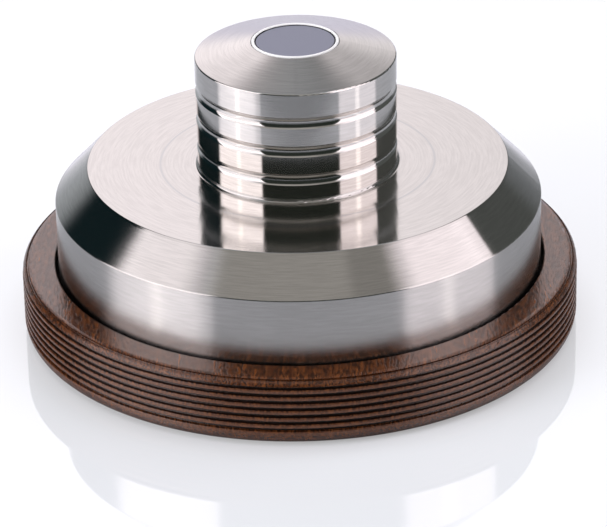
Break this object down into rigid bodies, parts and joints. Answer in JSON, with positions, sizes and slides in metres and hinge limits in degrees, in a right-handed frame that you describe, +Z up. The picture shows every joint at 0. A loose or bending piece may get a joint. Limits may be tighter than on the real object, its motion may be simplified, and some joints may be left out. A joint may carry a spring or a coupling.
{
  "type": "record weight clamp",
  "caption": "Turned steel record weight with a grooved lifting knob, a sloped shoulder and a ribbed dark wood ring under it, with a blind hole below for the turntable's spindle.",
  "frame": {"origin": "on the axis of the weight, on the surface that the wooden ring stands on", "axes": "+Z up along the axis of the spindle hole and knob; X and Y across, with a base screw on +X"},
  "size_m": [0.092, 0.092, 0.0496],
  "materials": {
    "turned_steel": "fine turned, satin to bright",
    "dark_wood": "oiled, satin",
    "emblem_satin": "satin anodised",
    "screw_steel": "plain stainless"
  },
  "bodies": {
    "root": {"steel_weight": "turned_steel", "wood_ring": "dark_wood", "emblem_disc": "emblem_satin", "base_screws": "screw_steel"}
  },
  "joints": []
}
